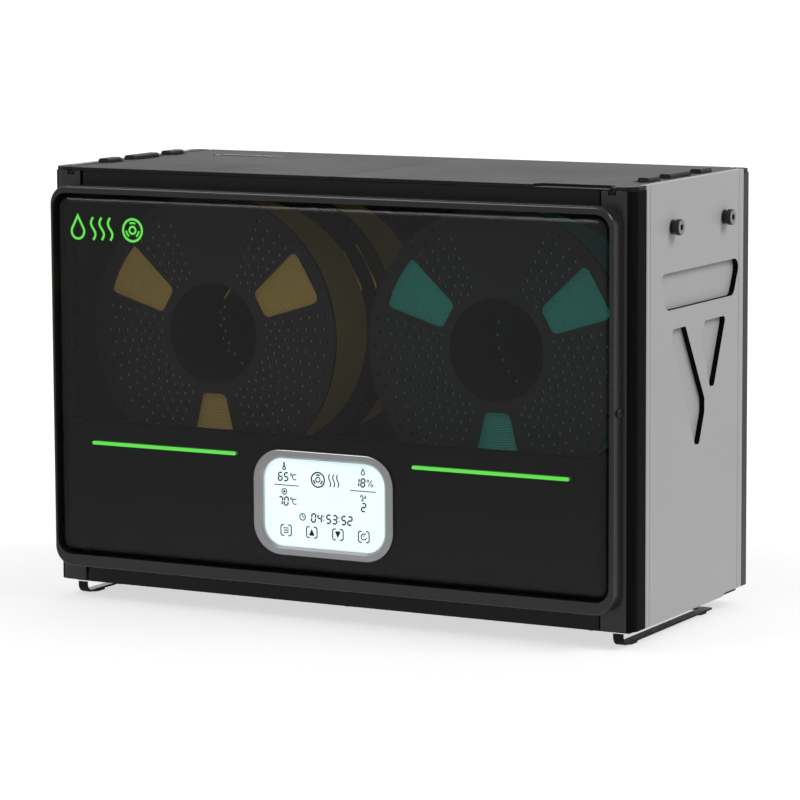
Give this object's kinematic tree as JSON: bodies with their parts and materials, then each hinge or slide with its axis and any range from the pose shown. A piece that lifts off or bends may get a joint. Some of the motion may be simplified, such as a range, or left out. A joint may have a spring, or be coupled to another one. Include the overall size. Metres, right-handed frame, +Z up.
{
  "type": "filament dryer box",
  "caption": "Heated drying box for filament spools with smoked front, two hinged top lids, side tube outlets, roller cradles and a front display.",
  "frame": {"origin": "on the standing surface, under the middle of the overall box", "axes": "+Z up, +Y to the rear, +X to the right seen from the front"},
  "size_m": [0.474, 0.2116, 0.3155],
  "materials": {
    "black_painted_steel": "satin black powder coat",
    "black_plastic": "fine matt black moulding",
    "lid_black": "satin dark grey",
    "smoked_clear": "glossy smoked clear plastic",
    "side_grey": "satin light grey",
    "bezel_silver": "fine brushed silver",
    "display_white": "backlit white segment display",
    "green_light": "lit green light guide",
    "steel": "bright steel",
    "rubber_black": "soft black",
    "lining_grey": "dark heat-proof lining",
    "spool_black": "moulded spool plastic",
    "filament_yellow": "wound yellow filament",
    "filament_teal": "wound teal filament",
    "circuit_green": "green circuit board",
    "heater_aluminium": "finned aluminium",
    "brass_bush": "plain turned bush"
  },
  "bodies": {
    "case": {"base_pan": "black_painted_steel", "runner_feet": "black_painted_steel", "foot_pads": "rubber_black", "front_shell": "black_plastic", "front_frame": "black_plastic", "front_window": "smoked_clear", "lower_backing": "black_plastic", "light_strips": "green_light", "display_bezel": "bezel_silver", "display_screen": "display_white", "display_board": "circuit_green", "front_posts": "black_plastic", "rear_posts": "black_plastic", "left_side_panel": "side_grey", "right_side_panel": "side_grey", "top_frame": "lid_black", "hinge_knuckles": "black_plastic", "hinge_pins": "steel", "chamber_floor": "lining_grey", "chamber_linings": "lining_grey", "roller_cradles": "black_plastic", "roller_bushes": "brass_bush", "filament_outlets": "black_plastic", "humidity_sensor": "black_plastic", "air_ducts": "heater_aluminium", "fan_frames": "black_plastic", "ptc_heaters": "heater_aluminium", "main_board": "circuit_green", "power_supply": "heater_aluminium", "power_inlet": "black_plastic", "switch_housing": "black_plastic", "rear_panel": "black_painted_steel", "case_screws": "steel"},
    "left_lid": {"left_lid": "lid_black", "left_lid_liner": "lining_grey", "left_lid_seal": "rubber_black"},
    "right_lid": {"right_lid": "lid_black", "right_lid_liner": "lining_grey", "right_lid_seal": "rubber_black"},
    "front_left_spool": {"front_left_spool": "spool_black", "front_left_filament": "filament_yellow"},
    "front_left_roller_a": {"front_left_roller_a": "rubber_black"},
    "front_left_roller_b": {"front_left_roller_b": "rubber_black"},
    "front_right_spool": {"front_right_spool": "spool_black", "front_right_filament": "filament_teal"},
    "front_right_roller_a": {"front_right_roller_a": "rubber_black"},
    "front_right_roller_b": {"front_right_roller_b": "rubber_black"},
    "rear_left_spool": {"rear_left_spool": "spool_black", "rear_left_filament": "filament_yellow"},
    "rear_left_roller_a": {"rear_left_roller_a": "rubber_black"},
    "rear_left_roller_b": {"rear_left_roller_b": "rubber_black"},
    "rear_right_spool": {"rear_right_spool": "spool_black", "rear_right_filament": "filament_teal"},
    "rear_right_roller_a": {"rear_right_roller_a": "rubber_black"},
    "rear_right_roller_b": {"rear_right_roller_b": "rubber_black"},
    "left_fan_rotor": {"left_fan_rotor": "black_plastic"},
    "middle_fan_rotor": {"middle_fan_rotor": "black_plastic"},
    "right_fan_rotor": {"right_fan_rotor": "black_plastic"},
    "power_rocker": {"power_rocker": "black_plastic"}
  },
  "joints": [
    {"name": "left_lid_hinge", "type": "hinge", "parent": "case", "child": "left_lid", "pos_m": [-0.214, 0, 0.31], "axis": [0, -1, 0], "range_deg": [0, 95]},
    {"name": "right_lid_hinge", "type": "hinge", "parent": "case", "child": "right_lid", "pos_m": [0.214, 0, 0.31], "axis": [0, 1, 0], "range_deg": [0, 95]},
    {"name": "front_left_spool_spin", "type": "hinge", "parent": "case", "child": "front_left_spool", "pos_m": [-0.1135, -0.0282, 0.1945], "axis": [0, 1, 0], "continuous": true},
    {"name": "front_left_roller_a_spin", "type": "hinge", "parent": "case", "child": "front_left_roller_a", "pos_m": [-0.17734, -0.0282, 0.10333], "axis": [0, 1, 0], "continuous": true},
    {"name": "front_left_roller_b_spin", "type": "hinge", "parent": "case", "child": "front_left_roller_b", "pos_m": [-0.04966, -0.0282, 0.10333], "axis": [0, 1, 0], "continuous": true},
    {"name": "front_right_spool_spin", "type": "hinge", "parent": "case", "child": "front_right_spool", "pos_m": [0.1135, -0.0282, 0.1945], "axis": [0, 1, 0], "continuous": true},
    {"name": "front_right_roller_a_spin", "type": "hinge", "parent": "case", "child": "front_right_roller_a", "pos_m": [0.04966, -0.0282, 0.10333], "axis": [0, 1, 0], "continuous": true},
    {"name": "front_right_roller_b_spin", "type": "hinge", "parent": "case", "child": "front_right_roller_b", "pos_m": [0.17734, -0.0282, 0.10333], "axis": [0, 1, 0], "continuous": true},
    {"name": "rear_left_spool_spin", "type": "hinge", "parent": "case", "child": "rear_left_spool", "pos_m": [-0.1135, 0.0588, 0.1945], "axis": [0, 1, 0], "continuous": true},
    {"name": "rear_left_roller_a_spin", "type": "hinge", "parent": "case", "child": "rear_left_roller_a", "pos_m": [-0.17734, 0.0588, 0.10333], "axis": [0, 1, 0], "continuous": true},
    {"name": "rear_left_roller_b_spin", "type": "hinge", "parent": "case", "child": "rear_left_roller_b", "pos_m": [-0.04966, 0.0588, 0.10333], "axis": [0, 1, 0], "continuous": true},
    {"name": "rear_right_spool_spin", "type": "hinge", "parent": "case", "child": "rear_right_spool", "pos_m": [0.1135, 0.0588, 0.1945], "axis": [0, 1, 0], "continuous": true},
    {"name": "rear_right_roller_a_spin", "type": "hinge", "parent": "case", "child": "rear_right_roller_a", "pos_m": [0.04966, 0.0588, 0.10333], "axis": [0, 1, 0], "continuous": true},
    {"name": "rear_right_roller_b_spin", "type": "hinge", "parent": "case", "child": "rear_right_roller_b", "pos_m": [0.17734, 0.0588, 0.10333], "axis": [0, 1, 0], "continuous": true},
    {"name": "left_fan_spin", "type": "hinge", "parent": "case", "child": "left_fan_rotor", "pos_m": [-0.13, -0.0282, 0.041], "axis": [0, 0, 1], "continuous": true},
    {"name": "middle_fan_spin", "type": "hinge", "parent": "case", "child": "middle_fan_rotor", "pos_m": [0, -0.0282, 0.041], "axis": [0, 0, 1], "continuous": true},
    {"name": "right_fan_spin", "type": "hinge", "parent": "case", "child": "right_fan_rotor", "pos_m": [0.13, -0.0282, 0.041], "axis": [0, 0, 1], "continuous": true},
    {"name": "power_rocker_tilt", "type": "hinge", "parent": "case", "child": "power_rocker", "pos_m": [-0.196, 0.0999, 0.0475], "axis": [1, 0, 0], "range_deg": [0, 14]}
  ],
  "couplings": [
    {"joint": "front_left_roller_a_spin", "follows": "front_left_spool_spin", "ratio": -9.0909},
    {"joint": "front_left_roller_b_spin", "follows": "front_left_spool_spin", "ratio": -9.0909},
    {"joint": "front_right_roller_a_spin", "follows": "front_right_spool_spin", "ratio": -9.0909},
    {"joint": "front_right_roller_b_spin", "follows": "front_right_spool_spin", "ratio": -9.0909},
    {"joint": "rear_left_roller_a_spin", "follows": "rear_left_spool_spin", "ratio": -9.0909},
    {"joint": "rear_left_roller_b_spin", "follows": "rear_left_spool_spin", "ratio": -9.0909},
    {"joint": "rear_right_roller_a_spin", "follows": "rear_right_spool_spin", "ratio": -9.0909},
    {"joint": "rear_right_roller_b_spin", "follows": "rear_right_spool_spin", "ratio": -9.0909}
  ]
}
